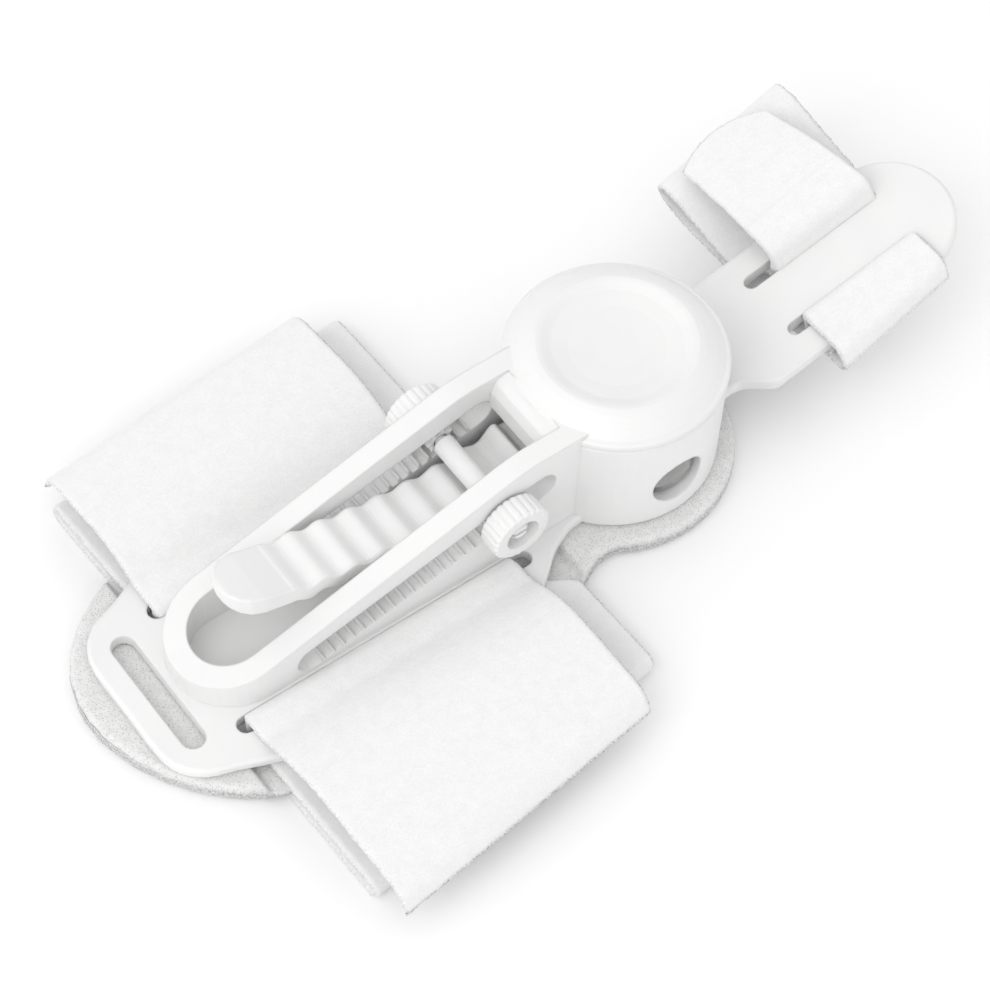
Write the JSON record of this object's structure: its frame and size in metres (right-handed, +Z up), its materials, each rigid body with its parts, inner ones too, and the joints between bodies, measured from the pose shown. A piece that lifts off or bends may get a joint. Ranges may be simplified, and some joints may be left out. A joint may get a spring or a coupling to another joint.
{
  "type": "bunion corrector",
  "caption": "Bunion corrector lying flat: white ribbed-lever splint with thumbwheels and a hinged toe plate on a foam pad, with a wide foot strap and a toe strap",
  "frame": {"origin": "on the drum's axis, on the underside of the foam pad, in the plane that the splint lies on", "axes": "+X runs from the drum to the toe plate's tip, +Y to the left thumbwheel, +Z up, through the drum's dished top"},
  "size_m": [0.1781, 0.1076, 0.0317],
  "materials": {
    "white_plastic": "satin moulded white",
    "wheel_plastic": "satin moulded white, slightly rougher",
    "steel": "plain drawn pin",
    "foam": "light grey knit-faced foam, fine dark pores",
    "brushed_cloth": "white brushed loop cloth"
  },
  "bodies": {
    "base": {"base_frame": "white_plastic", "hinge_pin": "steel", "foam_pad": "foam", "foot_strap": "brushed_cloth"},
    "slider": {"slider_bar": "wheel_plastic"},
    "wheel_left": {"thumbwheel_left": "wheel_plastic"},
    "wheel_right": {"thumbwheel_right": "wheel_plastic"},
    "toe": {"toe_arm": "white_plastic", "toe_strap": "brushed_cloth"}
  },
  "joints": [
    {"name": "slider_slide", "type": "slide", "parent": "base", "child": "slider", "axis": [-0.9735, 0, -0.2288], "range_m": [-0.0063, 0.0225]},
    {"name": "wheel_left_turn", "type": "hinge", "parent": "slider", "child": "wheel_left", "pos_m": [-0.031, 0, 0.0194], "axis": [0, -1, 0], "range_deg": [-157, 559.5]},
    {"name": "wheel_right_turn", "type": "hinge", "parent": "slider", "child": "wheel_right", "pos_m": [-0.031, 0, 0.0194], "axis": [0, -1, 0], "range_deg": [-157, 559.5]},
    {"name": "toe_hinge", "type": "hinge", "parent": "base", "child": "toe", "pos_m": [0, 0, 0.0136], "axis": [0, -1, 0], "range_deg": [-2.4, 8.4]}
  ],
  "couplings": [
    {"joint": "wheel_left_turn", "follows": "slider_slide", "rad_per_m": 433.62},
    {"joint": "wheel_right_turn", "follows": "slider_slide", "rad_per_m": 433.62},
    {"joint": "toe_hinge", "follows": "slider_slide", "rad_per_m": 6.4228}
  ]
}
